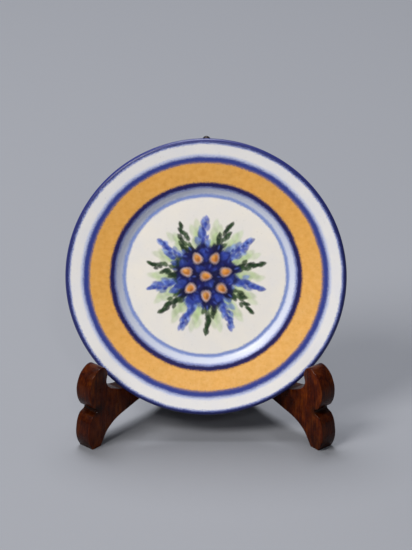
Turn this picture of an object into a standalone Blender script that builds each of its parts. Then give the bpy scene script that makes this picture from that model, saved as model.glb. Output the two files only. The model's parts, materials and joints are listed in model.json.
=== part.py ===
"""Folding plate display stand with its plate, at 1:12 miniature size.

Two carved boards are hinged at the back on one long pin, and open into a V. The plate's rim sits
on the boards' ledges behind their hooks, and its foot ring leans on their uprights.

The row frame is in metres, +Z up, with the front towards -Y. A board's outline is drawn in two
directions: reach, out from the hinge axis along the board, and height above the table.
"""

import math

import bmesh
import bpy
from mathutils import Matrix, Vector

MM = 0.001

# Driving dimensions
HALF_OPENING = math.radians(41.5)  # from the centre plane to each board
LEAN = math.radians(15)  # of the plate, back from upright
AXIS_Y = 5.726 * MM  # places the origin under the middle of the whole object

# Boards
BOARD_THICKNESS = 1.65 * MM
CENTRE_GAP = 0.03 * MM  # from the hinge axis to each board's inner face
ARRIS = 0.36 * MM
BOARD_TOP = 25.4
CORNER, SMOOTH = "VECTOR", "AUTO"
BOARD_OUTLINE = (  # reach and height in millimetres, and the kind of point
    (0.0, 0.0, CORNER),
    (3.9, 0.0, CORNER),  # back foot
    (4.95, 1.4, SMOOTH),
    (7.5, 2.75, SMOOTH),  # crown of the arch
    (10.6, 2.45, SMOOTH),
    (13.15, 1.5, SMOOTH),
    (14.35, 0.0, CORNER),  # front foot
    (15.4, 0.0, CORNER),
    (15.8, 0.9, SMOOTH),
    (15.85, 2.0, SMOOTH),  # lower lobe
    (15.4, 3.3, SMOOTH),
    (14.75, 3.77, SMOOTH),  # notch between the lobes
    (15.25, 4.25, SMOOTH),
    (15.68, 5.45, SMOOTH),  # upper lobe
    (15.48, 6.7, SMOOTH),
    (14.78, 7.58, SMOOTH),
    (13.8, 7.82, SMOOTH),
    (13.3, 7.2, SMOOTH),  # inside of the hook
    (13.4, 6.1, SMOOTH),
    (12.95, 5.45, SMOOTH),
    (12.2, 5.05, SMOOTH),
    (11.4, 4.72, SMOOTH),  # ledge under the plate's rim
    (9.3, 4.62, SMOOTH),
    (8.1, 5.3, SMOOTH),
    (7.15, 7.3, SMOOTH),
    (5.65, 11.0, SMOOTH),  # upright, hollowed between its two supports
    (4.05, 15.5, SMOOTH),
    (3.0, 19.6, SMOOTH),
    (2.6, 21.0, SMOOTH),  # neck that the foot ring leans on
    (2.85, 22.3, SMOOTH),
    (2.95, 23.5, SMOOTH),  # finial
    (2.4, 24.9, SMOOTH),
    (1.2, BOARD_TOP, SMOOTH),
    (0.0, BOARD_TOP, CORNER),
)

# Hinges: a barrel on the pin, and a leaf on each board's back land
LAND_DEPTH = 0.25 * MM  # the back land lies this far in front of the axis
LEAF_GAP = 0.02 * MM
LEAF_THICKNESS = 0.2 * MM
LEAF_NEAR = 0.48 * MM
LEAF_FAR = 2.15 * MM
HINGE_HEIGHT = 4.4 * MM
HINGE_BOTTOMS = {"lower": 4.0 * MM, "upper": 20.8 * MM}
BARREL_RADIUS = 0.42 * MM
BORE_RADIUS = 0.27 * MM
RECESS_RADIUS = 0.5 * MM
KNUCKLE_GAP = 0.06 * MM
TONGUE_INSET = 0.015 * MM
KNUCKLES = 3

# Hinge pin
PIN_RADIUS = 0.24 * MM
PIN_HEAD_RADIUS = 0.38 * MM
PIN_HEAD_HEIGHT = 0.8 * MM
PIN_COLLAR_RADIUS = 0.36 * MM
PIN_COLLAR_HEIGHT = 0.35 * MM
PIN_CLEARANCE = 0.05 * MM

# Brads
BRAD_OFFSET = 1.3 * MM
BRAD_RISE = 1.3 * MM  # above and below the middle of the hinge
BRAD_HEAD_RADIUS = 0.31 * MM
BRAD_HEAD_HEIGHT = 0.15 * MM
BRAD_RADIUS = 0.15 * MM
BRAD_LENGTH = 1.05 * MM
LEAF_HOLE_RADIUS = 0.19 * MM
WOOD_HOLE_RADIUS = 0.18 * MM
WOOD_HOLE_DEPTH = 1.0 * MM

# Plate: its profile is drawn from the axis outwards, above the plane of its foot ring
PLATE_FOOT_Y = 3.82 * MM  # foot ring's centre, in front of the hinge axis
PLATE_FOOT_Z = 14.12 * MM
PLATE_RADIUS = 12.7 * MM
PLATE_DEPTH = 2.4 * MM
PLATE_STEPS = 72
WELL_RADIUS = 7.4 * MM
WELL_HEIGHT = 1.32 * MM
COVE_WIDTH = 1.0 * MM  # from the well up to the rim
WELL_THICKNESS = 0.82 * MM
FOOT_OUTER, FOOT_INNER = 7.3 * MM, 6.6 * MM
RIM_SLOPE = math.radians(8)
RIM_THICKNESS = 0.66 * MM
EDGE_RADIUS = 0.32 * MM

SLIVER = 0.000001
SIDES = {"left": -1, "right": 1}


def clear_scene():
    for old in list(bpy.data.objects):
        bpy.data.objects.remove(old)


def new_collection(name):
    made = bpy.data.collections.new(name)
    bpy.context.scene.collection.children.link(made)
    return made


def material(name, colour, roughness, metallic=0.0):
    made = bpy.data.materials.new(name)
    made.use_nodes = True
    shader = made.node_tree.nodes["Principled BSDF"]
    shader.inputs["Base Color"].default_value = (*colour, 1.0)
    shader.inputs["Roughness"].default_value = roughness
    shader.inputs["Metallic"].default_value = metallic
    return made


def add_object(name, mesh, collection, surface=None):
    made = bpy.data.objects.new(name, mesh)
    collection.objects.link(made)
    if surface:
        mesh.materials.append(surface)
    return made


def add_box(name, low, high, collection, surface=None):
    """A box between two opposite corners."""
    low, high = Vector(low), Vector(high)
    shape = bmesh.new()
    bmesh.ops.create_cube(shape, size=1.0)
    bmesh.ops.scale(shape, vec=high - low, verts=shape.verts)
    bmesh.ops.translate(shape, vec=(low + high) / 2, verts=shape.verts)
    mesh = bpy.data.meshes.new(name)
    shape.to_mesh(mesh)
    shape.free()
    return add_object(name, mesh, collection, surface)


def add_cylinder(name, radius, start, end, sides, collection):
    """A cylinder whose axis runs from start to end."""
    start, end = Vector(start), Vector(end)
    shape = bmesh.new()
    bmesh.ops.create_cone(
        shape,
        cap_ends=True,
        segments=sides,
        radius1=radius,
        radius2=radius,
        depth=(end - start).length,
    )
    mesh = bpy.data.meshes.new(name)
    shape.to_mesh(mesh)
    shape.free()
    made = add_object(name, mesh, collection)
    turn = (end - start).to_track_quat("Z", "Y").to_matrix().to_4x4()
    made.matrix_world = Matrix.Translation((start + end) / 2) @ turn
    return made


def add_turned(name, profile, steps, collection, surface):
    """A turned solid about its own Z, from a profile that runs down its outer side."""
    mesh = bpy.data.meshes.new(name)
    edges = [(i, i + 1) for i in range(len(profile) - 1)]
    mesh.from_pydata([(x, 0.0, z) for x, z in profile], edges, [])
    made = add_object(name, mesh, collection, surface)
    turn = made.modifiers.new("turn", "SCREW")
    turn.steps = turn.render_steps = steps
    turn.use_merge_vertices = True
    turn.merge_threshold = SLIVER
    turn.use_smooth_shade = True
    return made


def boolean(target, other, operation):
    other.hide_render = True
    other.display_type = "WIRE"
    change = target.modifiers.new(other.name, "BOOLEAN")
    change.operation = operation
    change.object = other


def arc(centre, radius, first, last, steps):
    """Points round an arc, from angle first to angle last in degrees."""
    angles = [math.radians(first + (last - first) * i / steps) for i in range(steps + 1)]
    return [(centre[0] + radius * math.cos(a), centre[1] + radius * math.sin(a)) for a in angles]


def board_frame(side):
    """The board's placing: X along its reach, Y up, Z through its thickness."""
    reach = Vector((side * math.sin(HALF_OPENING), -math.cos(HALF_OPENING), 0))
    up = Vector((0, 0, 1))
    through = reach.cross(up)
    placing = Matrix((reach, up, through)).transposed().to_4x4()
    middle = -side * (CENTRE_GAP + BOARD_THICKNESS / 2)
    return Matrix.Translation((0, AXIS_Y, 0)) @ placing @ Matrix.Translation((0, 0, middle))


def outline_mesh(name):
    """The board's outline, filled and extruded to its thickness."""
    curve = bpy.data.curves.new(name, "CURVE")
    curve.dimensions = "2D"
    curve.fill_mode = "BOTH"
    curve.extrude = BOARD_THICKNESS / 2
    curve.resolution_u = 4
    spline = curve.splines.new("BEZIER")
    spline.bezier_points.add(len(BOARD_OUTLINE) - 1)
    spline.use_cyclic_u = True
    for point, (reach, height, kind) in zip(spline.bezier_points, BOARD_OUTLINE):
        point.co = (reach * MM, height * MM, 0)
        point.handle_left_type = point.handle_right_type = kind
    guide = bpy.data.objects.new(name, curve)
    bpy.context.scene.collection.objects.link(guide)
    graph = bpy.context.evaluated_depsgraph_get()
    mesh = bpy.data.meshes.new_from_object(guide.evaluated_get(graph))
    bpy.data.objects.remove(guide)
    shape = bmesh.new()
    shape.from_mesh(mesh)
    bmesh.ops.remove_doubles(shape, verts=shape.verts, dist=SLIVER)
    bmesh.ops.recalc_face_normals(shape, faces=shape.faces)
    shape.to_mesh(mesh)
    shape.free()
    return mesh


def brad_places(side, bottom):
    """Where a leaf's two brads go in, on the back land."""
    middle = bottom + HINGE_HEIGHT / 2
    land = AXIS_Y - LAND_DEPTH
    return [Vector((side * BRAD_OFFSET, land, middle + rise)) for rise in (-BRAD_RISE, BRAD_RISE)]


def add_board(word, side, parts, cutters, wood):
    name = f"{word}_leg_board"
    board = add_object(name, outline_mesh(name), parts, wood)
    board.matrix_world = board_frame(side)
    rounding = board.modifiers.new("rounding", "BEVEL")
    rounding.width = ARRIS
    rounding.segments = 2
    rounding.limit_method = "ANGLE"
    rounding.angle_limit = math.radians(50)

    reach = 4 * MM
    land = AXIS_Y - LAND_DEPTH
    low = (-reach, land, -MM)
    high = (reach, land + reach, (BOARD_TOP + 1) * MM)
    boolean(board, add_box(f"{name}_land_cut", low, high, cutters), "DIFFERENCE")
    for level, bottom in HINGE_BOTTOMS.items():
        start = Vector((0, AXIS_Y, bottom - PIN_COLLAR_HEIGHT - 4 * PIN_CLEARANCE))
        end = Vector((0, AXIS_Y, bottom + HINGE_HEIGHT + MM))
        recess = add_cylinder(f"{name}_{level}_recess", RECESS_RADIUS, start, end, 24, cutters)
        boolean(board, recess, "DIFFERENCE")
        for number, place in enumerate(brad_places(side, bottom), 1):
            inner = place - Vector((0, WOOD_HOLE_DEPTH, 0))
            outer = place + Vector((0, MM, 0))
            label = f"{name}_{level}_hole_{number}"
            boolean(board, add_cylinder(label, WOOD_HOLE_RADIUS, inner, outer, 12, cutters), "DIFFERENCE")
    return board


def add_leaf(word, side, level, bottom, parts, cutters, brass):
    """A hinge leaf: a plate on the land, and the knuckles that are its own."""
    name = f"{level}_hinge_{word}_leaf"
    front = AXIS_Y - LAND_DEPTH + LEAF_GAP
    back = front + LEAF_THICKNESS
    near, far = sorted((side * LEAF_NEAR, side * LEAF_FAR))
    leaf = add_box(name, (near, front, bottom), (far, back, bottom + HINGE_HEIGHT), parts, brass)

    pitch = HINGE_HEIGHT / KNUCKLES
    own = range(0, KNUCKLES, 2) if word == "left" else range(1, KNUCKLES, 2)
    for number in own:
        low = bottom + number * pitch + KNUCKLE_GAP / 2
        high = bottom + (number + 1) * pitch - KNUCKLE_GAP / 2
        label = f"{name}_knuckle_{number + 1}"
        barrel = add_cylinder(
            label, BARREL_RADIUS, (0, AXIS_Y, low), (0, AXIS_Y, high), 24, cutters
        )
        ends = sorted((0.0, side * (LEAF_NEAR + LEAF_THICKNESS)))
        tongue = add_box(
            f"{label}_tongue",
            (ends[0], front + TONGUE_INSET, low + TONGUE_INSET),
            (ends[1], back - TONGUE_INSET, high - TONGUE_INSET),
            cutters,
        )
        boolean(leaf, barrel, "UNION")
        boolean(leaf, tongue, "UNION")
    bore_low = (0, AXIS_Y, bottom - MM)
    bore_high = (0, AXIS_Y, bottom + HINGE_HEIGHT + MM)
    boolean(leaf, add_cylinder(f"{name}_bore", BORE_RADIUS, bore_low, bore_high, 24, cutters), "DIFFERENCE")
    for number, place in enumerate(brad_places(side, bottom), 1):
        step = Vector((0, MM, 0))
        hole = add_cylinder(
            f"{name}_hole_{number}", LEAF_HOLE_RADIUS, place - step, place + step, 12, cutters
        )
        boolean(leaf, hole, "DIFFERENCE")
    return leaf


def add_brads(word, side, level, bottom, parts, brass):
    """Round-headed brads, driven through the leaf into the board."""
    dome = [(0.0, BRAD_HEAD_HEIGHT), (0.6 * BRAD_HEAD_RADIUS, 0.8 * BRAD_HEAD_HEIGHT)]
    shank = [(BRAD_HEAD_RADIUS, 0.25 * BRAD_HEAD_HEIGHT), (BRAD_HEAD_RADIUS, 0.0), (BRAD_RADIUS, 0.0)]
    point = [(BRAD_RADIUS, 2 * BRAD_RADIUS - BRAD_LENGTH), (0.0, -BRAD_LENGTH)]
    lift = Vector((0, LEAF_GAP + LEAF_THICKNESS + LEAF_GAP, 0))
    for number, place in enumerate(brad_places(side, bottom), 1):
        name = f"{level}_hinge_{word}_brad_{number}"
        brad = add_turned(name, dome + shank + point, 12, parts, brass)
        brad.location = place + lift
        brad.rotation_euler = (-math.pi / 2, 0, 0)


def add_pin(parts, steel):
    """The long hinge pin: a domed head above the upper barrel, a collar below the lower one."""
    bottom = HINGE_BOTTOMS["lower"] - PIN_CLEARANCE - PIN_COLLAR_HEIGHT
    collar_top = bottom + PIN_COLLAR_HEIGHT
    head_bottom = HINGE_BOTTOMS["upper"] + HINGE_HEIGHT + PIN_CLEARANCE
    head_top = head_bottom + PIN_HEAD_HEIGHT
    dome_base = head_top - PIN_HEAD_RADIUS
    dome = arc((0, dome_base), PIN_HEAD_RADIUS, 90, 0, 4)
    dome[0] = (0.0, head_top)
    shaft = [(PIN_HEAD_RADIUS, head_bottom), (PIN_RADIUS, head_bottom), (PIN_RADIUS, collar_top)]
    collar = [
        (PIN_COLLAR_RADIUS, collar_top),
        (PIN_COLLAR_RADIUS, bottom + 0.3 * PIN_COLLAR_HEIGHT),
        (0.6 * PIN_COLLAR_RADIUS, bottom),
        (0.0, bottom),
    ]
    pin = add_turned("hinge_pin", dome + shaft + collar, 20, parts, steel)
    pin.location = (0, AXIS_Y, 0)
    return pin


def plate_profile():
    """The plate's section, from the middle of its front, round its edge, to the middle of its back."""
    rise = math.tan(RIM_SLOPE)
    edge = (PLATE_RADIUS - EDGE_RADIUS, PLATE_DEPTH - EDGE_RADIUS)
    front_angle = 90 + math.degrees(RIM_SLOPE)
    front_end = arc(edge, EDGE_RADIUS, front_angle, front_angle, 1)[0]
    verge = WELL_RADIUS + COVE_WIDTH
    verge_height = front_end[1] - (front_end[0] - verge) * rise
    cove = []
    for step in range(5):
        across = step / 4
        blend = (3 - 2 * across) * across**2
        climb = (verge_height - WELL_HEIGHT) * blend
        cove.append((WELL_RADIUS + across * COVE_WIDTH, WELL_HEIGHT + climb))
    rim = arc(edge, EDGE_RADIUS, front_angle, -75, 6)
    drop = RIM_THICKNESS / math.cos(RIM_SLOPE)
    back_verge = (verge, verge_height - drop)
    floor = WELL_HEIGHT - WELL_THICKNESS
    foot = [
        (FOOT_OUTER + 0.25 * MM, floor + 0.1 * MM),
        (FOOT_OUTER + 0.05 * MM, 0.12 * MM),
        (FOOT_OUTER - 0.1 * MM, 0.0),
        (FOOT_INNER + 0.1 * MM, 0.0),
        (FOOT_INNER, 0.12 * MM),
        (FOOT_INNER - 0.2 * MM, floor),
    ]
    return [(0.0, WELL_HEIGHT)] + cove + rim + [back_verge] + foot + [(0.0, floor)]


def add_plate(parts, glaze):
    plate = add_turned("display_plate", plate_profile(), PLATE_STEPS, parts, glaze)
    plate.location = (0, AXIS_Y - PLATE_FOOT_Y, PLATE_FOOT_Z)
    plate.rotation_euler = (math.pi / 2 - LEAN, 0, 0)
    return plate


def main():
    clear_scene()
    parts = new_collection("plate_display_stand")
    cutters = new_collection("cutters")
    cutters.hide_render = True
    wood = material("stained_wood", (0.12, 0.028, 0.012), 0.28)
    brass = material("hinge_brass", (0.55, 0.38, 0.14), 0.35, 1.0)
    steel = material("pin_steel", (0.05, 0.045, 0.05), 0.4, 1.0)
    glaze = material("plate_glaze", (0.86, 0.86, 0.85), 0.2)
    add_pin(parts, steel)
    for word, side in SIDES.items():
        add_board(word, side, parts, cutters, wood)
        for level, bottom in HINGE_BOTTOMS.items():
            add_leaf(word, side, level, bottom, parts, cutters, brass)
            add_brads(word, side, level, bottom, parts, brass)
    add_plate(parts, glaze)


main()
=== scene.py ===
"""Looks for the folding plate stand and its plate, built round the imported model.

Everything is in metres in the row's frame: +Z up, front towards -Y. The boards and the plate are
rebuilt finer than their CAD solids, in the same places and sizes. The hinges, brads and pin keep
their CAD solids. The plate's posy is a generic one, laid out by even turns.
"""

import json
import math

import bmesh
import bpy
import numpy as np
from mathutils import Matrix, Vector


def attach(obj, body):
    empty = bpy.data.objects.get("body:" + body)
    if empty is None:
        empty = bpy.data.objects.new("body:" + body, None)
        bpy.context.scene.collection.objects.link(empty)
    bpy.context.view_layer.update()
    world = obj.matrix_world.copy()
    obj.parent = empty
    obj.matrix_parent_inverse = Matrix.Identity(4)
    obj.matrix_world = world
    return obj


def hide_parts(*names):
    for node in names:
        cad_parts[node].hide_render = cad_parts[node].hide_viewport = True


MM = 0.001
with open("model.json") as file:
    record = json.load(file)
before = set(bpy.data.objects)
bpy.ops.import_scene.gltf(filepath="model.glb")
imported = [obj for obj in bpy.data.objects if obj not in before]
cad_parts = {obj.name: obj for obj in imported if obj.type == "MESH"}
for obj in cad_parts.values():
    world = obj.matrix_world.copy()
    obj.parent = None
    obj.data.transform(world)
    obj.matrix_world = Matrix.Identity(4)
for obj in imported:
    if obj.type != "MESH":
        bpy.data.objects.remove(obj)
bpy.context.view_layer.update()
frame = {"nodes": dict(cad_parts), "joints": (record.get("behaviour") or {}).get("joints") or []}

# The stand's geometry, as in the CAD
HALF_OPENING = math.radians(41.5)
LEAN = math.radians(15)
AXIS_Y = next(j["pos_m"][1] for j in frame["joints"] if j["name"] == "right_fold")
SIDES = {"left": -1, "right": 1}
BOARD_THICKNESS = 1.65 * MM
CENTRE_GAP = 0.03 * MM
ARRIS = 0.36 * MM
BOARD_TOP = 25.4
CORNER, SMOOTH = "VECTOR", "AUTO"
BOARD_OUTLINE = (  # reach and height in millimetres, and the kind of point
    (0.0, 0.0, CORNER),
    (3.9, 0.0, CORNER),  # back foot
    (4.95, 1.4, SMOOTH),
    (7.5, 2.75, SMOOTH),  # crown of the arch
    (10.6, 2.45, SMOOTH),
    (13.15, 1.5, SMOOTH),
    (14.35, 0.0, CORNER),  # front foot
    (15.4, 0.0, CORNER),
    (15.8, 0.9, SMOOTH),
    (15.85, 2.0, SMOOTH),  # lower lobe
    (15.4, 3.3, SMOOTH),
    (14.75, 3.77, SMOOTH),  # notch between the lobes
    (15.25, 4.25, SMOOTH),
    (15.68, 5.45, SMOOTH),  # upper lobe
    (15.48, 6.7, SMOOTH),
    (14.78, 7.58, SMOOTH),
    (13.8, 7.82, SMOOTH),
    (13.3, 7.2, SMOOTH),  # inside of the hook
    (13.4, 6.1, SMOOTH),
    (12.95, 5.45, SMOOTH),
    (12.2, 5.05, SMOOTH),
    (11.4, 4.72, SMOOTH),  # ledge under the plate's rim
    (9.3, 4.62, SMOOTH),
    (8.1, 5.3, SMOOTH),
    (7.15, 7.3, SMOOTH),
    (5.65, 11.0, SMOOTH),  # upright, hollowed between its two supports
    (4.05, 15.5, SMOOTH),
    (3.0, 19.6, SMOOTH),
    (2.6, 21.0, SMOOTH),  # neck that the foot ring leans on
    (2.85, 22.3, SMOOTH),
    (2.95, 23.5, SMOOTH),  # finial
    (2.4, 24.9, SMOOTH),
    (1.2, BOARD_TOP, SMOOTH),
    (0.0, BOARD_TOP, CORNER),
)
NOTCH = (14.75, 3.77)

LAND_DEPTH = 0.25 * MM
HINGE_HEIGHT = 4.4 * MM
HINGE_BOTTOMS = {"lower": 4.0 * MM, "upper": 20.8 * MM}
RECESS_RADIUS = 0.5 * MM
PIN_COLLAR_HEIGHT = 0.35 * MM
PIN_CLEARANCE = 0.05 * MM

PLATE_FOOT = Vector((0.0, AXIS_Y - 3.82 * MM, 14.12 * MM))
PLATE_RADIUS = 12.7 * MM
PLATE_DEPTH = 2.4 * MM
WELL_RADIUS = 7.4 * MM
WELL_HEIGHT = 1.32 * MM
COVE_WIDTH = 1.0 * MM
WELL_THICKNESS = 0.82 * MM
FOOT_OUTER, FOOT_INNER = 7.3 * MM, 6.6 * MM
RIM_SLOPE = math.radians(8)
RIM_THICKNESS = 0.66 * MM
EDGE_RADIUS = 0.32 * MM
PLATE_TURNS = 560
PAINTED_RIM = 10  # how many rings of the rounded edge carry the front's paint
PLATE_STEP = 0.072 * MM  # between the well's rings
COVE_STEPS = 14
FLANGE_STEPS = 18
EDGE_STEPS = 12
EDGE_LAST_ANGLE = -75  # degrees, where the rounded edge meets the back

# Floor and camera
FLOOR_REACH = 2
FLOOR_DEPTH = 0.01
VIEW_AZIMUTH, VIEW_ELEVATION = math.radians(0.4), math.radians(26)
VIEW_DISTANCE = 250 * MM
VIEW_WIDTH = 37.18 * MM  # what the picture's width spans at the plate
VIEW_RAISE = 0.25 * MM
SENSOR = 36.0

SLIVER = 0.001 * MM  # points nearer than this are one point
BOARD_ARRIS_STEPS = 6
BOARD_CURVE_STEPS = 14
LAND_CUTTER = 4 * MM  # half the width, and the depth, of the cutter for the hinges' land
OVERCUT = MM  # how far a cutter runs past the wood
RECESS_SIDES = 48


# ---------------------------------------------------------------- node helpers


class Shader:
    """A node tree being written, with short ways to add and join nodes."""

    def __init__(self, name):
        self.material = bpy.data.materials.new(name)
        self.material.use_nodes = True
        self.tree = self.material.node_tree
        self.tree.nodes.clear()
        output = self.tree.nodes.new("ShaderNodeOutputMaterial")
        self.surface = self.tree.nodes.new("ShaderNodeBsdfPrincipled")
        self.tree.links.new(self.surface.outputs[0], output.inputs["Surface"])

    def join(self, value, socket):
        if isinstance(value, bpy.types.NodeSocket):
            self.tree.links.new(value, socket)
        else:
            socket.default_value = value

    def set(self, **values):
        """Sets or links the surface's sockets, named with _ for a space."""
        for name, value in values.items():
            self.join(value, self.surface.inputs[name.replace("_", " ").title().replace("Ior", "IOR")])

    def math(self, operation, a, b=0.0, c=0.0, clamp=False):
        node = self.tree.nodes.new("ShaderNodeMath")
        node.operation = operation
        node.use_clamp = clamp
        for value, socket in zip((a, b, c), node.inputs):
            self.join(value, socket)
        return node.outputs[0]

    def vector(self, operation, a, b=(0.0, 0.0, 0.0)):
        node = self.tree.nodes.new("ShaderNodeVectorMath")
        node.operation = operation
        self.join(a, node.inputs[0])
        self.join(b, node.inputs[1])
        return node.outputs["Value" if operation in ("LENGTH", "DISTANCE", "DOT_PRODUCT") else "Vector"]

    def scaled(self, vector, scale):
        return self.vector("MULTIPLY", vector, scale)

    def noise(self, vector, scale, detail=3.0, roughness=0.55, distortion=0.0):
        node = self.tree.nodes.new("ShaderNodeTexNoise")
        self.join(vector, node.inputs["Vector"])
        node.inputs["Scale"].default_value = scale
        node.inputs["Detail"].default_value = detail
        node.inputs["Roughness"].default_value = roughness
        node.inputs["Distortion"].default_value = distortion
        return node.outputs[0]

    def ramp(self, value, stops, smooth=False):
        """A colour ramp; a stop is a place and a grey or a colour."""
        node = self.tree.nodes.new("ShaderNodeValToRGB")
        node.color_ramp.interpolation = "EASE" if smooth else "LINEAR"
        marks = node.color_ramp.elements
        while len(marks) < len(stops):
            marks.new(0.5)
        for mark, (place, colour) in zip(marks, stops):
            mark.position = place
            mark.color = (colour,) * 3 + (1.0,) if isinstance(colour, float) else (*colour, 1.0)
        self.join(value, node.inputs[0])
        return node.outputs[0]

    def mix(self, share, a, b, blend="MIX"):
        node = self.tree.nodes.new("ShaderNodeMix")
        node.data_type = "RGBA"
        node.blend_type = blend
        self.join(share, node.inputs[0])
        for value, socket in ((a, node.inputs[6]), (b, node.inputs[7])):
            self.join(value if isinstance(value, bpy.types.NodeSocket) else (*value, 1.0), socket)
        return node.outputs[2]

    def bump(self, height, strength, distance):
        node = self.tree.nodes.new("ShaderNodeBump")
        node.inputs["Strength"].default_value = strength
        node.inputs["Distance"].default_value = distance
        self.join(height, node.inputs["Height"])
        return node.outputs[0]

    def place(self):
        """Where a point is in the piece's own axes, in millimetres."""
        node = self.tree.nodes.new("ShaderNodeTexCoord")
        return self.scaled(node.outputs["Object"], (1000.0,) * 3)

    def normal(self):
        """Which way the surface faces in the piece's own axes."""
        return self.tree.nodes.new("ShaderNodeTexCoord").outputs["Normal"]

    def split(self, vector, axis):
        node = self.tree.nodes.new("ShaderNodeSeparateXYZ")
        self.join(vector, node.inputs[0])
        return node.outputs[axis]

    def attribute(self, name, output="Vector"):
        node = self.tree.nodes.new("ShaderNodeAttribute")
        node.attribute_name = name
        return node.outputs[output]


def srgb(red, green, blue):
    """A linear colour from 8-bit screen values."""

    def linear(value):
        value /= 255
        return value / 12.92 if value <= 0.04045 else ((value + 0.055) / 1.055) ** 2.4

    return linear(red), linear(green), linear(blue)


# ---------------------------------------------------------------- materials


def varnished_mahogany():
    """Dark red-brown stain over a fine straight grain, under a thick gloss varnish."""
    s = Shader("varnished_mahogany")
    place = s.place()
    along = s.scaled(place, (1.0, 0.45, 1.0))
    figure = s.noise(along, 1.1, 3.0, 0.6, 0.6)
    streaks = s.noise(s.scaled(place, (1.0, 0.07, 1.0)), 7.5, 3.0, 0.65, 0.2)
    grain = s.math("MULTIPLY_ADD", streaks, 0.46, s.math("MULTIPLY", figure, 0.54))
    stain = s.ramp(
        grain,
        (
            (0.36, (0.018, 0.0018, 0.0001)),
            (0.46, (0.042, 0.0048, 0.0002)),
            (0.54, (0.07, 0.0112, 0.0004)),
            (0.66, (0.12, 0.026, 0.001)),
        ),
    )
    blotch = s.ramp(s.noise(place, 0.42, 2.0), ((0.32, 0.5), (0.68, 1.35)))
    stain = s.mix(1.0, stain, blotch, "MULTIPLY")
    facing = s.split(s.normal(), "Z")
    edge = s.ramp(s.math("ABSOLUTE", facing), ((0.25, 0.55), (0.8, 1.0)), True)
    stain = s.mix(1.0, stain, edge, "MULTIPLY")
    # Painted shade: the wood is darker near the notch between the lobes, standing in for the shade in
    # that crease.
    notch_shade = s.vector("DISTANCE", s.scaled(place, (1.0, 1.0, 0.0)), (*NOTCH, 0.0))
    notch_shade = s.ramp(notch_shade, ((0.15, 0.3), (0.85, 1.0)), True)
    stain = s.mix(1.0, stain, notch_shade, "MULTIPLY")
    pores = s.noise(s.scaled(place, (1.0, 0.11, 1.0)), 16.0, 2.0, 0.6)
    pores = s.ramp(pores, ((0.38, 0.0), (0.5, 1.0)))
    peel = s.noise(place, 2.6, 2.0, 0.5)
    height = s.math("MULTIPLY_ADD", pores, 0.16, peel)
    s.set(
        base_color=stain,
        roughness=s.ramp(s.noise(place, 1.7, 3.0), ((0.3, 0.24), (0.7, 0.38))),
        specular_ior_level=0.05,
        coat_weight=0.14,
        coat_roughness=0.05,
        coat_ior=1.5,
        normal=s.bump(height, 0.5, 0.05 * MM),
    )
    return s.material


def painted_glaze():
    """White glaze with a painted orange band between blue lines, and the bouquet in the well."""
    s = Shader("painted_glaze")
    plane = s.attribute("plate_plane")
    flat = s.scaled(plane, (1.0, 1.0, 0.0))
    radius = s.vector("LENGTH", flat)
    coarse = s.math("SUBTRACT", s.noise(flat, 9.0, 2.0), 0.5)
    fine = s.math("SUBTRACT", s.noise(flat, 105.0, 2.0, 0.75), 0.5)
    wander = s.math("MULTIPLY_ADD", fine, 0.036, s.math("MULTIPLY", coarse, 0.013))
    read = s.math("ADD", radius, wander)
    white = srgb(232, 229, 226)
    cream = srgb(238, 232, 222)
    milky = srgb(206, 211, 226)
    pale_blue = srgb(128, 146, 200)
    blue = srgb(50, 62, 138)
    navy = srgb(28, 24, 84)
    orange = srgb(230, 168, 80)
    paint = s.ramp(
        read,
        (
            (0.0, cream),
            (0.562, cream),
            (0.574, pale_blue),
            (0.587, pale_blue),
            (0.601, milky),
            (0.628, milky),
            (0.645, srgb(118, 128, 182)),
            (0.656, navy),
            (0.678, navy),
            (0.692, orange),
            (0.819, orange),
            (0.83, srgb(120, 105, 130)),
            (0.842, blue),
            (0.862, blue),
            (0.88, srgb(184, 192, 222)),
            (0.897, white),
            (0.958, white),
            (0.968, srgb(126, 138, 192)),
            (0.978, srgb(30, 36, 96)),
        ),
    )
    in_band = s.ramp(radius, ((0.688, 0.0), (0.694, 1.0), (0.818, 1.0), (0.826, 0.0)))
    brushed = s.noise(flat, 26.0, 3.0, 0.7)
    band_tint = s.ramp(
        brushed,
        (
            (0.3, (0.93, 0.88, 0.76)),
            (0.5, (1.0, 1.0, 1.0)),
            (0.72, (1.05, 1.1, 1.32)),
        ),
    )
    # Painted highlight: the orange band grows lighter and bluer towards the lower right, standing in for
    # light and glare on that side of the plate.
    band_sheen = s.vector("DOT_PRODUCT", flat, (0.5, -1.0, 0.0))
    band_sheen = s.math("MULTIPLY_ADD", band_sheen, 0.45, 0.5)
    band_sheen = s.ramp(band_sheen, ((0.35, (1.0, 1.0, 1.0)), (0.9, (1.07, 1.14, 1.5))), True)
    band_tint = s.mix(1.0, band_tint, band_sheen, "MULTIPLY")
    paint = s.mix(in_band, paint, s.mix(1.0, paint, band_tint, "MULTIPLY"))
    clouds = s.ramp(s.noise(flat, 5.0, 3.0), ((0.3, (0.93, 0.95, 1.0)), (0.7, (1.0, 0.995, 0.98))))
    paint = s.mix(1.0, paint, clouds, "MULTIPLY")
    front = s.attribute("is_front", "Fac")
    paint = s.mix(front, white, paint)
    bouquet = s.attribute("bouquet", "Color")
    cover = s.attribute("bouquet_cover", "Fac")
    paint = s.mix(cover, paint, bouquet)
    speck = s.ramp(s.noise(flat, 95.0, 1.0), ((0.71, 1.0), (0.76, 0.72)))
    paint = s.mix(1.0, paint, speck, "MULTIPLY")
    peel = s.noise(s.place(), 1.9, 2.0, 0.5)
    relief = s.math("MULTIPLY_ADD", cover, 0.5, peel)
    relief = s.math("MULTIPLY_ADD", fine, 0.12, relief)
    s.set(
        base_color=paint,
        roughness=s.ramp(s.noise(flat, 30.0, 2.0), ((0.3, 0.34), (0.7, 0.5))),
        specular_ior_level=0.28,
        coat_weight=0.14,
        coat_roughness=0.2,
        normal=s.bump(relief, 0.35, 0.03 * MM),
    )
    return s.material


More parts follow.
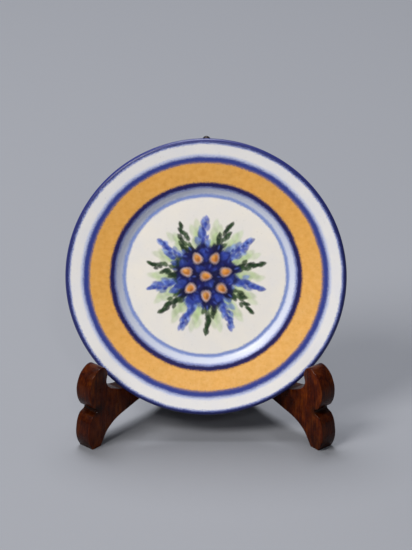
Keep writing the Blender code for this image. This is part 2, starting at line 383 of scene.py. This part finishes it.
def tarnished_brass():
    s = Shader("tarnished_brass")
    place = s.place()
    cloud = s.noise(place, 1.3, 4.0, 0.6, 0.4)
    colour = s.ramp(cloud, ((0.3, (0.3, 0.17, 0.06)), (0.5, (0.5, 0.33, 0.12)), (0.7, (0.68, 0.48, 0.2))))
    scratch = s.noise(s.scaled(place, (9.0, 9.0, 0.8)), 2.2, 2.0)
    s.set(
        base_color=colour,
        metallic=1.0,
        roughness=s.ramp(cloud, ((0.3, 0.5), (0.7, 0.26))),
        normal=s.bump(scratch, 0.35, 0.02 * MM),
    )
    return s.material


def blackened_steel():
    s = Shader("blackened_steel")
    place = s.place()
    cloud = s.noise(place, 2.1, 4.0, 0.6)
    colour = s.ramp(cloud, ((0.35, (0.012, 0.01, 0.01)), (0.7, (0.07, 0.055, 0.05))))
    s.set(
        base_color=colour,
        metallic=1.0,
        roughness=s.ramp(cloud, ((0.3, 0.5), (0.7, 0.3))),
        normal=s.bump(s.noise(s.scaled(place, (6.0, 6.0, 1.0)), 3.0), 0.3, 0.02 * MM),
    )
    return s.material


# ---------------------------------------------------------------- shapes


cutters = bpy.data.collections.new("cutters")
bpy.context.scene.collection.children.link(cutters)
cutters.hide_render = True


def show(name, mesh, surface=None, collection=None):
    made = bpy.data.objects.new(name, mesh)
    (collection or bpy.context.scene.collection).objects.link(made)
    if surface:
        mesh.materials.append(surface)
    return made


def box_mesh(name, low, high):
    low, high = Vector(low), Vector(high)
    shape = bmesh.new()
    bmesh.ops.create_cube(shape, size=1.0)
    bmesh.ops.scale(shape, vec=high - low, verts=shape.verts)
    bmesh.ops.translate(shape, vec=(low + high) / 2, verts=shape.verts)
    mesh = bpy.data.meshes.new(name)
    shape.to_mesh(mesh)
    shape.free()
    return mesh


def rod_mesh(name, radius, start, end, sides):
    """A cylinder from start to end."""
    start, end = Vector(start), Vector(end)
    shape = bmesh.new()
    bmesh.ops.create_cone(
        shape, cap_ends=True, segments=sides, radius1=radius, radius2=radius, depth=(end - start).length
    )
    turn = (end - start).to_track_quat("Z", "Y").to_matrix().to_4x4()
    bmesh.ops.transform(shape, matrix=Matrix.Translation((start + end) / 2) @ turn, verts=shape.verts)
    mesh = bpy.data.meshes.new(name)
    shape.to_mesh(mesh)
    shape.free()
    return mesh


def change(target, mesh, operation):
    """Cuts mesh from target, or joins it on, and applies that at once."""
    other = show(mesh.name, mesh, collection=cutters)
    modifier = target.modifiers.new("change", "BOOLEAN")
    modifier.operation = operation
    modifier.object = other
    apply_modifiers(target)
    bpy.data.objects.remove(other)


def apply_modifiers(piece):
    graph = bpy.context.evaluated_depsgraph_get()
    graph.update()
    mesh = bpy.data.meshes.new_from_object(piece.evaluated_get(graph))
    piece.modifiers.clear()
    old = piece.data
    piece.data = mesh
    bpy.data.meshes.remove(old)


def soften(piece, degrees):
    piece.data.shade_smooth()
    piece.data.set_sharp_from_angle(angle=math.radians(degrees))


def arc(centre, radius, first, last, steps):
    angles = [math.radians(first + (last - first) * i / steps) for i in range(steps + 1)]
    return [(centre[0] + radius * math.cos(a), centre[1] + radius * math.sin(a)) for a in angles]


# ---------------------------------------------------------------- boards


def board_frame(side):
    """The board's placing: X along its reach, Y up, Z through its thickness."""
    reach = Vector((side * math.sin(HALF_OPENING), -math.cos(HALF_OPENING), 0))
    up = Vector((0, 0, 1))
    placing = Matrix((reach, up, reach.cross(up))).transposed().to_4x4()
    middle = -side * (CENTRE_GAP + BOARD_THICKNESS / 2)
    return Matrix.Translation((0, AXIS_Y, 0)) @ placing @ Matrix.Translation((0, 0, middle))


def outline_mesh(name):
    curve = bpy.data.curves.new(name, "CURVE")
    curve.dimensions = "2D"
    curve.fill_mode = "BOTH"
    curve.extrude = BOARD_THICKNESS / 2
    curve.resolution_u = BOARD_CURVE_STEPS
    spline = curve.splines.new("BEZIER")
    spline.bezier_points.add(len(BOARD_OUTLINE) - 1)
    spline.use_cyclic_u = True
    for point, (reach, height, kind) in zip(spline.bezier_points, BOARD_OUTLINE):
        point.co = (reach * MM, height * MM, 0)
        point.handle_left_type = point.handle_right_type = kind
    guide = bpy.data.objects.new(name, curve)
    bpy.context.scene.collection.objects.link(guide)
    graph = bpy.context.evaluated_depsgraph_get()
    mesh = bpy.data.meshes.new_from_object(guide.evaluated_get(graph))
    bpy.data.objects.remove(guide)
    shape = bmesh.new()
    shape.from_mesh(mesh)
    bmesh.ops.remove_doubles(shape, verts=shape.verts, dist=SLIVER)
    bmesh.ops.dissolve_limit(shape, angle_limit=math.radians(0.05), verts=shape.verts, edges=shape.edges)
    bmesh.ops.recalc_face_normals(shape, faces=shape.faces)
    shape.to_mesh(mesh)
    shape.free()
    return mesh


def make_board(word, side, wood):
    board = show(f"{word}_board", outline_mesh(f"{word}_board"), wood)
    board.matrix_world = board_frame(side)
    rounding = board.modifiers.new("rounding", "BEVEL")
    rounding.width = ARRIS
    rounding.segments = BOARD_ARRIS_STEPS
    rounding.limit_method = "ANGLE"
    rounding.angle_limit = math.radians(50)
    apply_modifiers(board)
    land = AXIS_Y - LAND_DEPTH
    low = (-LAND_CUTTER, land, -OVERCUT)
    high = (LAND_CUTTER, land + LAND_CUTTER, BOARD_TOP * MM + OVERCUT)
    change(board, box_mesh("land", low, high), "DIFFERENCE")
    for level, bottom in HINGE_BOTTOMS.items():
        start = (0, AXIS_Y, bottom - PIN_COLLAR_HEIGHT - 4 * PIN_CLEARANCE)
        end = (0, AXIS_Y, bottom + HINGE_HEIGHT + OVERCUT)
        change(board, rod_mesh("recess", RECESS_RADIUS, start, end, RECESS_SIDES), "DIFFERENCE")
    soften(board, 32)
    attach(board, f"{word}_leg")
    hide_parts(f"{word}_leg_board")


# ---------------------------------------------------------------- plate


def plate_profile():
    """The section, from the middle of the front, round the edge, to the middle of the back."""
    rise = math.tan(RIM_SLOPE)
    edge = (PLATE_RADIUS - EDGE_RADIUS, PLATE_DEPTH - EDGE_RADIUS)
    front_angle = 90 + math.degrees(RIM_SLOPE)
    rim = arc(edge, EDGE_RADIUS, front_angle, EDGE_LAST_ANGLE, EDGE_STEPS)
    front_end = rim[0]
    verge = WELL_RADIUS + COVE_WIDTH
    verge_height = front_end[1] - (front_end[0] - verge) * rise
    well = [(x, WELL_HEIGHT) for x in np.arange(PLATE_STEP, WELL_RADIUS - PLATE_STEP / 2, PLATE_STEP)]
    cove = []
    for step in range(COVE_STEPS + 1):
        across = step / COVE_STEPS
        climb = (verge_height - WELL_HEIGHT) * (3 - 2 * across) * across**2
        cove.append((WELL_RADIUS + across * COVE_WIDTH, WELL_HEIGHT + climb))
    flange = []
    for step in range(1, FLANGE_STEPS):
        across = verge + (front_end[0] - verge) * step / FLANGE_STEPS
        flange.append((across, verge_height + (across - verge) * rise))
    drop = RIM_THICKNESS / math.cos(RIM_SLOPE)
    floor = WELL_HEIGHT - WELL_THICKNESS
    foot = [
        (verge, verge_height - drop),
        (FOOT_OUTER + 0.35 * MM, floor + 0.14 * MM),
        (FOOT_OUTER + 0.14 * MM, floor + 0.02 * MM),
        (FOOT_OUTER + 0.05 * MM, 0.12 * MM),
        (FOOT_OUTER - 0.02 * MM, 0.03 * MM),
        (FOOT_OUTER - 0.1 * MM, 0.0),
        (FOOT_INNER + 0.1 * MM, 0.0),
        (FOOT_INNER + 0.02 * MM, 0.03 * MM),
        (FOOT_INNER, 0.12 * MM),
        (FOOT_INNER - 0.1 * MM, floor - 0.04 * MM),
        (FOOT_INNER - 0.3 * MM, floor),
        (3.0 * MM, floor),
    ]
    return well + cove + flange + rim[:PAINTED_RIM], rim[PAINTED_RIM:] + foot, floor


def plate_mesh(name):
    """The plate as rings of points, with each point's place in its own plane stored on it."""
    front, back, floor = plate_profile()
    rings = np.array(front + back)
    turn = np.linspace(0, 2 * math.pi, PLATE_TURNS, endpoint=False)
    x = rings[:, :1] * np.cos(turn)
    y = rings[:, :1] * np.sin(turn)
    z = np.repeat(rings[:, 1:], PLATE_TURNS, axis=1)
    points = np.stack([x, y, z], -1).reshape(-1, 3)
    centres = [(0, 0, WELL_HEIGHT), (0, 0, floor)]
    points = np.vstack([points, centres])
    faces = []
    for ring in range(len(rings) - 1):
        for i in range(PLATE_TURNS):
            j = (i + 1) % PLATE_TURNS
            a, b = ring * PLATE_TURNS, (ring + 1) * PLATE_TURNS
            faces.append((a + i, b + i, b + j, a + j))
    last = (len(rings) - 1) * PLATE_TURNS
    middle = len(rings) * PLATE_TURNS
    for i in range(PLATE_TURNS):
        j = (i + 1) % PLATE_TURNS
        faces.append((middle, i, j))
        faces.append((middle + 1, last + j, last + i))
    mesh = bpy.data.meshes.new(name)
    mesh.from_pydata(points.tolist(), [], faces)
    mesh.update()
    plane = points / PLATE_RADIUS
    mesh.attributes.new("plate_plane", "FLOAT_VECTOR", "POINT").data.foreach_set("vector", plane.ravel())
    is_front = np.zeros(len(points))
    is_front[: len(front) * PLATE_TURNS] = 1
    is_front[-2] = 1
    mesh.attributes.new("is_front", "FLOAT", "POINT").data.foreach_set("value", is_front)
    colour, cover = paint_bouquet(plane, is_front > 0)
    paint = np.concatenate([colour, np.ones((len(points), 1))], 1)
    mesh.attributes.new("bouquet", "FLOAT_COLOR", "POINT").data.foreach_set("color", paint.ravel())
    mesh.attributes.new("bouquet_cover", "FLOAT", "POINT").data.foreach_set("value", cover)
    return mesh


# ---------------------------------------------------------------- the painted bouquet

NAVY = srgb(24, 26, 96)
DEEP_NAVY = srgb(13, 10, 56)
VIOLET_BLUE = srgb(72, 92, 176)
ROYAL = srgb(44, 62, 150)
SOFT_BLUE = srgb(112, 138, 205)
AMBER = srgb(206, 130, 44)
PALE_AMBER = srgb(230, 172, 92)
UMBER = srgb(132, 74, 30)
PINK_WHITE = srgb(236, 205, 196)
BOTTLE_GREEN = srgb(22, 44, 25)
MOSS_GREEN = srgb(42, 70, 36)
PALE_GREEN = srgb(164, 190, 124)

# The posy's layout, as shares of the plate's radius
STEM_START = 0.15
STEM_LENGTH = 0.27
LEAF_START = 0.2
LEAF_LENGTH = 0.2
FLOWER_RING = 0.145
FLOWER_SIZE = 0.1
STEMS = 7  # sprigs, spikes and ring flowers alike
KNOT_TOUCHES = 46
KNOT_SPREAD = 0.03
GOLDEN_TURN = 2.4  # radians from one touch of the knot to the next
BRUSH_SEED = 7
RAGGED_EDGE = 0.1  # how far a touch's edge wanders, as a share of its size
UNEVEN_PAINT = 0.14  # how much a touch's tone varies inside it


class Canvas:
    """Colour and cover at each point of the plate's front, painted dab by dab."""

    def __init__(self, plane, painted):
        self.x = plane[:, 0]
        self.y = plane[:, 1]
        self.colour = np.ones((len(plane), 3))
        self.cover = np.zeros(len(plane))
        self.painted = painted
        self.random = np.random.default_rng(BRUSH_SEED)

    def dab(self, x, y, length, width, degrees, colour, strength=0.9, soft=0.4):
        """One touch of the brush: an ellipse with a soft, slightly ragged edge."""
        turn = math.radians(degrees)
        dx, dy = self.x - x, self.y - y
        near = self.painted & (dx * dx + dy * dy < (0.75 * length + 0.02) ** 2)
        dx, dy = dx[near], dy[near]
        along = (dx * math.cos(turn) + dy * math.sin(turn)) / (length / 2)
        across = (dy * math.cos(turn) - dx * math.sin(turn)) / (width / 2)
        across = across * (1 + 0.25 * along)
        reach = np.hypot(along, across)
        ripple = np.sin(310 * self.x[near] + 7 * y) * np.sin(290 * self.y[near] + 9 * x)
        ragged = RAGGED_EDGE * ripple
        share = np.clip((1 + soft / 2 - reach - ragged) / soft, 0, 1) * strength
        wash = 1 + UNEVEN_PAINT * np.sin(95 * self.x[near] + 60 * self.y[near] + 40 * x)
        tint = np.array(colour) * self.random.uniform(0.85, 1.18)
        tint = np.clip(tint * wash[:, None], 0, 1)
        share = share[:, None]
        self.colour[near] = self.colour[near] * (1 - share) + tint * share
        before = self.cover[near]
        self.cover[near] = 1 - (1 - before) * (1 - share[:, 0])
        fresh = before < 0.02
        index = np.flatnonzero(near)[fresh]
        self.colour[index] = tint[fresh]

    def cluster(self, x, y, degrees, length, width, colours, count, size, strength=0.88):
        """Small touches crowded round a stem, from a broad foot to a fine tip."""
        turn = math.radians(degrees)
        for step in range(count):
            along = step / (count - 1)
            taper = 1 - 0.85 * along**1.8
            side = (-1) ** step * self.random.uniform(-0.15, 0.5) * width * taper
            bow = 0.1 * length * math.sin(math.pi * along) * math.cos(9 * x + 5 * y)
            px = x + along * length * math.cos(turn) - (side + bow) * math.sin(turn)
            py = y + along * length * math.sin(turn) + (side + bow) * math.cos(turn)
            touch = size * (1 - 0.4 * along) * self.random.uniform(0.8, 1.15)
            lean = degrees + math.degrees(math.atan2(side, 0.6 * width)) + self.random.uniform(-14, 14)
            colour = colours[step % len(colours)]
            self.dab(px, py, touch, 0.66 * touch, lean, colour, strength, 0.5)

    def wash(self, x, y, degrees, length, width, colour):
        """A pale translucent stroke: blunt touches laid outwards, thinner towards the end."""
        turn = math.radians(degrees)
        for step in range(6):
            along = (0.1 + 0.16 * step) * length
            side = 0.25 * width * math.sin(2.4 * step + 30 * x)
            px = x + along * math.cos(turn) - side * math.sin(turn)
            py = y + along * math.sin(turn) + side * math.cos(turn)
            lean = degrees + self.random.uniform(-16, 16)
            touch = (0.85 - 0.06 * step) * width
            self.dab(px, py, 0.4 * length, touch, lean, colour, 0.66 - 0.06 * step, 0.6)

    def petals(self, x, y, size, degrees):
        """Dark petals in three blues round a dark throat."""
        self.dab(x, y, 1.25 * size, 1.15 * size, degrees, DEEP_NAVY, 0.85, 0.4)
        for petal in range(6):
            angle = degrees + 60 * petal + self.random.uniform(-12, 12)
            out = math.radians(angle)
            reach = 0.62 * size * self.random.uniform(0.85, 1.15)
            px, py = x + reach * math.cos(out), y + reach * math.sin(out)
            colour = (DEEP_NAVY, NAVY, ROYAL)[petal % 3]
            self.dab(px, py, 0.72 * size, 0.6 * size, angle, colour, 0.8, 0.4)
            px, py = x + 1.35 * reach * math.cos(out), y + 1.35 * reach * math.sin(out)
            self.dab(px, py, 0.34 * size, 0.13 * size, angle, VIOLET_BLUE, 0.55, 0.8)

    def eye(self, x, y, length, width, degrees, halo):
        """The amber heart of a flower, which may have a pale edge."""
        self.dab(x, y, 1.3 * length, 1.35 * width, degrees, DEEP_NAVY, 0.8, 0.5)
        self.dab(x, y, 0.86 * length, 0.84 * width, degrees, PINK_WHITE, halo, 0.5)
        self.dab(x, y, 0.64 * length, 0.6 * width, degrees, AMBER, 0.95, 0.5)
        light = (x - 0.1 * width, y + 0.12 * length)
        shade = (x + 0.12 * width, y - 0.14 * length)
        self.dab(*light, 0.3 * length, 0.24 * width, degrees, PALE_AMBER, 0.5, 0.9)
        self.dab(*shade, 0.34 * length, 0.24 * width, degrees, UMBER, 0.5, 0.9)


def around(count, reach, first):
    """Evenly spaced places round the middle, each with its outward direction in degrees."""
    places = []
    for step in range(count):
        degrees = first + 360 * step / count
        turn = math.radians(degrees)
        places.append((reach * math.cos(turn), reach * math.sin(turn), degrees))
    return places


def paint_bouquet(plane, painted):
    """A round posy: pale leaves behind, then dark sprigs, blue spikes and a ring of flowers."""
    c = Canvas(plane, painted)
    half_turn = 180 / STEMS
    for x, y, degrees in around(2 * STEMS, LEAF_START, 90 + half_turn / 2):
        c.wash(x, y, degrees, LEAF_LENGTH, 0.08, PALE_GREEN)
    for x, y, degrees in around(STEMS, STEM_START, 90 + half_turn):
        c.cluster(x, y, degrees, STEM_LENGTH, 0.1, (BOTTLE_GREEN, MOSS_GREEN), 24, 0.064)
    for x, y, degrees in around(STEMS, STEM_START, 90):
        c.cluster(x, y, degrees, STEM_LENGTH, 0.12, (SOFT_BLUE, VIOLET_BLUE, ROYAL), 26, 0.074, 0.75)
        c.cluster(x, y, degrees, 0.85 * STEM_LENGTH, 0.08, (ROYAL, VIOLET_BLUE), 13, 0.045, 0.85)
    for step in range(KNOT_TOUCHES):
        angle = GOLDEN_TURN * step
        reach = KNOT_SPREAD * math.sqrt(step)
        x, y = reach * math.cos(angle), reach * math.sin(angle)
        colour = (DEEP_NAVY, ROYAL, NAVY, BOTTLE_GREEN, DEEP_NAVY)[step % 5]
        c.dab(x, y, 0.12, 0.085, 57 * angle, colour, 0.9, 0.5)
    flowers = around(STEMS, FLOWER_RING, 90 + half_turn) + [(0.0, 0.0, 0.0)]
    for x, y, degrees in flowers:
        c.petals(x, y, FLOWER_SIZE, degrees)
    for x, y, degrees in flowers:
        c.eye(x, y, 0.9 * FLOWER_SIZE, 0.74 * FLOWER_SIZE, degrees, 0.6)
    return c.colour, c.cover


def make_plate(glaze):
    plate = show("painted_plate", plate_mesh("painted_plate"), glaze)
    plate.location = PLATE_FOOT
    plate.rotation_euler = (math.pi / 2 - LEAN, 0, 0)
    soften(plate, 40)
    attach(plate, "plate")
    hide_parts("display_plate")


# ---------------------------------------------------------------- light, floor and camera


def make_stage():
    floor_surface = Shader("pale_floor")
    floor_surface.set(base_color=(0.185, 0.192, 0.212, 1.0), roughness=0.8)
    low, high = (-FLOOR_REACH, -FLOOR_REACH, -FLOOR_DEPTH), (FLOOR_REACH, FLOOR_REACH, 0)
    floor = show("floor", box_mesh("floor", low, high), floor_surface.material)
    world = bpy.data.worlds.new("studio")
    bpy.context.scene.world = world
    world.use_nodes = True
    world.node_tree.nodes["Background"].inputs[0].default_value = (0.86, 0.9, 1.0, 1.0)
    world.node_tree.nodes["Background"].inputs[1].default_value = 0.19


def add_light(name, place, size, power, colour, aim):
    light = bpy.data.lights.new(name, "AREA")
    light.shape = "DISK"
    light.size = size
    light.energy = power
    light.color = colour
    lamp = bpy.data.objects.new(name, light)
    bpy.context.scene.collection.objects.link(lamp)
    lamp.location = place
    lamp.rotation_euler = (Vector(aim) - Vector(place)).to_track_quat("-Z", "Y").to_euler()


def make_lights():
    aim = (0, 0, 12 * MM)
    add_light("key", (-0.18, -0.17, 0.28), 0.15, 1.27, (1.0, 0.98, 0.95), aim)
    add_light("top", (-0.03, 0.12, 0.32), 0.18, 1.3, (0.97, 0.98, 1.0), aim)
    add_light("front", (0.03, -0.32, 0.24), 0.03, 0.16, (1.0, 0.99, 0.97), aim)


def make_camera():
    lens = bpy.data.cameras.new("camera")
    camera = bpy.data.objects.new("camera", lens)
    bpy.context.scene.collection.objects.link(camera)
    bpy.context.scene.camera = camera
    normal = Vector((0, -math.cos(LEAN), math.sin(LEAN)))
    rim = PLATE_FOOT + normal * (PLATE_DEPTH - EDGE_RADIUS)
    out = Vector(
        (
            math.sin(VIEW_AZIMUTH) * math.cos(VIEW_ELEVATION),
            -math.cos(VIEW_AZIMUTH) * math.cos(VIEW_ELEVATION),
            math.sin(VIEW_ELEVATION),
        )
    )
    turn = (-out).to_track_quat("-Z", "Y")
    aim = rim + turn @ Vector((0, VIEW_RAISE, 0))
    camera.location = aim + out * VIEW_DISTANCE
    camera.rotation_euler = turn.to_euler()
    lens.sensor_fit = "HORIZONTAL"
    lens.sensor_width = SENSOR
    lens.lens = SENSOR * VIEW_DISTANCE / VIEW_WIDTH
    lens.clip_start = 0.005
    lens.clip_end = 20


def dress_hardware():
    """The hinges, brads and pin keep their CAD solids, with metal surfaces."""
    brass, steel = tarnished_brass(), blackened_steel()
    for name, node in frame["nodes"].items():
        if "hinge" in name:
            node.data.materials.clear()
            node.data.materials.append(steel if name == "hinge_pin" else brass)
            soften(node, 35)


make_stage()
make_lights()
make_camera()
wood = varnished_mahogany()
for word, side in SIDES.items():
    make_board(word, side, wood)
make_plate(painted_glaze())
dress_hardware()
bpy.context.scene.view_settings.view_transform = "Standard"
